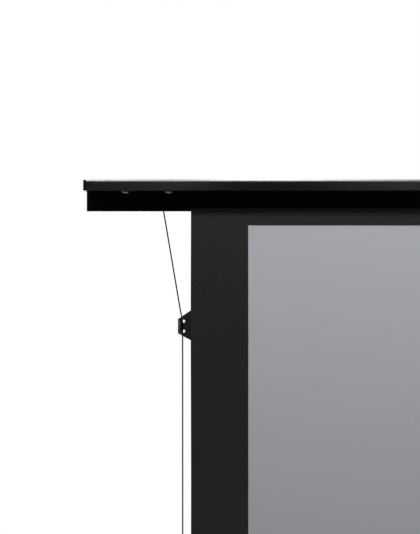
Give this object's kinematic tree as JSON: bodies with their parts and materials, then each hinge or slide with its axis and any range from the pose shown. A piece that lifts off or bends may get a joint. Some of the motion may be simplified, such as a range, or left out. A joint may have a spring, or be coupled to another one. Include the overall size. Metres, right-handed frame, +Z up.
{
  "type": "pull up projection screen",
  "caption": "Floor-standing projection screen that pulls up out of a long slim housing on folding rear arms, its cloth held flat by side tabs on tension cords.",
  "frame": {"origin": "on the floor under the middle of the housing", "axes": "+Z up, -Y towards the audience, X along the width of the screen"},
  "size_m": [2.626, 0.44, 1.7914],
  "materials": {
    "black_anodised_aluminium": "satin black anodised",
    "mill_aluminium": "mill finish",
    "black_plastic": "fine moulded grain",
    "border_cloth": "matte black coated cloth",
    "picture_cloth": "matte grey projection surface",
    "zinc_steel": "bright zinc plate",
    "black_steel": "black powder coat",
    "spring_steel": "oiled spring wire",
    "cord": "black braided cord",
    "foot_steel": "black powder coat"
  },
  "bodies": {
    "housing": {"base_tray": "black_anodised_aluminium", "front_cover": "black_anodised_aluminium", "rear_cover": "black_anodised_aluminium", "left_end_cap": "black_plastic", "right_end_cap": "black_plastic", "left_roller_bracket": "zinc_steel", "right_roller_bracket": "zinc_steel", "left_arm_base": "black_steel", "right_arm_base": "black_steel", "left_base_pin": "zinc_steel", "right_base_pin": "zinc_steel", "left_foot_bolt": "zinc_steel", "right_foot_bolt": "zinc_steel", "spring_shaft": "zinc_steel", "roller_spring": "spring_steel", "black_border": "border_cloth", "picture_sheet": "picture_cloth", "left_tab_1": "border_cloth", "left_tab_2": "border_cloth", "left_tab_3": "border_cloth", "left_tab_4": "border_cloth", "right_tab_1": "border_cloth", "right_tab_2": "border_cloth", "right_tab_3": "border_cloth", "right_tab_4": "border_cloth", "left_tension_cord": "cord", "right_tension_cord": "cord"},
    "roller": {"roller_tube": "mill_aluminium", "spring_plug": "black_plastic", "idle_plug": "black_plastic", "wound_fabric": "border_cloth"},
    "left_lower_arm": {"left_lower_arm": "black_anodised_aluminium", "left_knee_pin": "zinc_steel"},
    "left_upper_arm": {"left_upper_arm": "black_anodised_aluminium"},
    "right_lower_arm": {"right_lower_arm": "black_anodised_aluminium", "right_knee_pin": "zinc_steel"},
    "right_upper_arm": {"right_upper_arm": "black_anodised_aluminium"},
    "top": {"lid": "black_anodised_aluminium", "top_beam": "black_anodised_aluminium", "fabric_clamp_bar": "black_anodised_aluminium", "handle_mount": "black_plastic", "left_lid_cap": "black_plastic", "right_lid_cap": "black_plastic", "left_beam_plug": "black_plastic", "right_beam_plug": "black_plastic", "left_head_bracket": "black_steel", "right_head_bracket": "black_steel", "left_tension_slide": "zinc_steel", "right_tension_slide": "zinc_steel", "left_outer_tension_screw": "zinc_steel", "right_outer_tension_screw": "zinc_steel", "left_inner_tension_screw": "zinc_steel", "right_inner_tension_screw": "zinc_steel"},
    "handle": {"pull_handle": "black_plastic"},
    "left_strut_cylinder": {"left_strut_cylinder": "black_steel"},
    "left_strut_rod": {"left_strut_rod": "zinc_steel"},
    "right_strut_cylinder": {"right_strut_cylinder": "black_steel"},
    "right_strut_rod": {"right_strut_rod": "zinc_steel"},
    "left_foot": {"left_foot": "foot_steel"},
    "right_foot": {"right_foot": "foot_steel"}
  },
  "joints": [
    {"name": "left_arm_fold", "type": "hinge", "parent": "housing", "child": "left_lower_arm", "pos_m": [-0.93, 0.0435, 0.046], "axis": [0, 1, 0], "range_deg": [0, 69.5], "deforming": ["black_border", "picture_sheet", "left_tab_1", "left_tab_2", "left_tab_3", "left_tab_4", "right_tab_1", "right_tab_2", "right_tab_3", "right_tab_4", "left_tension_cord", "right_tension_cord"]},
    {"name": "left_knee", "type": "hinge", "parent": "left_lower_arm", "child": "left_upper_arm", "pos_m": [-0.6435, 0.0575, 0.87806], "axis": [0, 1, 0], "range_deg": [-139.02, 0]},
    {"name": "left_head", "type": "hinge", "parent": "left_upper_arm", "child": "top", "pos_m": [-0.93, 0.0575, 1.71011], "axis": [0, 1, 0], "range_deg": [0, 69.52]},
    {"name": "right_arm_fold", "type": "hinge", "parent": "housing", "child": "right_lower_arm", "pos_m": [0.93, 0.0435, 0.046], "axis": [0, 1, 0], "range_deg": [-69.52, 0]},
    {"name": "right_knee", "type": "hinge", "parent": "right_lower_arm", "child": "right_upper_arm", "pos_m": [0.6435, 0.0575, 0.87806], "axis": [0, 1, 0], "range_deg": [0, 139.02]},
    {"name": "left_strut_base", "type": "hinge", "parent": "housing", "child": "left_strut_cylinder", "pos_m": [-1.15, 0.027, 0.046], "axis": [0, 1, 0], "range_deg": [0, 34.77]},
    {"name": "left_strut_end", "type": "hinge", "parent": "left_lower_arm", "child": "left_strut_rod", "pos_m": [-0.85837, 0.027, 0.25401], "axis": [0, 1, 0], "range_deg": [-34.77, 0]},
    {"name": "right_strut_base", "type": "hinge", "parent": "housing", "child": "right_strut_cylinder", "pos_m": [1.15, 0.027, 0.046], "axis": [0, 1, 0], "range_deg": [-34.77, 0]},
    {"name": "right_strut_end", "type": "hinge", "parent": "right_lower_arm", "child": "right_strut_rod", "pos_m": [0.85837, 0.027, 0.25401], "axis": [0, 1, 0], "range_deg": [0, 34.77]},
    {"name": "roller_spin", "type": "hinge", "parent": "housing", "child": "roller", "pos_m": [0, -0.00755, 0.05795], "axis": [1, 0, 0], "range_deg": [0, 3824]},
    {"name": "handle_lift", "type": "hinge", "parent": "top", "child": "handle", "pos_m": [0, 0, 1.78441], "axis": [1, 0, 0], "range_deg": [0, 110]},
    {"name": "left_foot_turn", "type": "hinge", "parent": "housing", "child": "left_foot", "pos_m": [-1, 0, 0.012], "axis": [0, 0, 1], "range_deg": [0, 90]},
    {"name": "right_foot_turn", "type": "hinge", "parent": "housing", "child": "right_foot", "pos_m": [1, 0, 0.012], "axis": [0, 0, 1], "range_deg": [-90, 0]}
  ],
  "couplings": [
    {"joint": "left_knee", "follows": "left_arm_fold", "ratio": -2},
    {"joint": "left_head", "follows": "left_arm_fold", "ratio": 1},
    {"joint": "right_arm_fold", "follows": "left_arm_fold", "ratio": -1},
    {"joint": "right_knee", "follows": "left_arm_fold", "ratio": 2},
    {"joint": "left_strut_base", "follows": "left_arm_fold", "ratio": 0.5},
    {"joint": "left_strut_end", "follows": "left_arm_fold", "ratio": -0.5},
    {"joint": "right_strut_base", "follows": "left_arm_fold", "ratio": -0.5},
    {"joint": "right_strut_end", "follows": "left_arm_fold", "ratio": 0.5},
    {"joint": "roller_spin", "follows": "left_arm_fold", "ratio": 55}
  ]
}
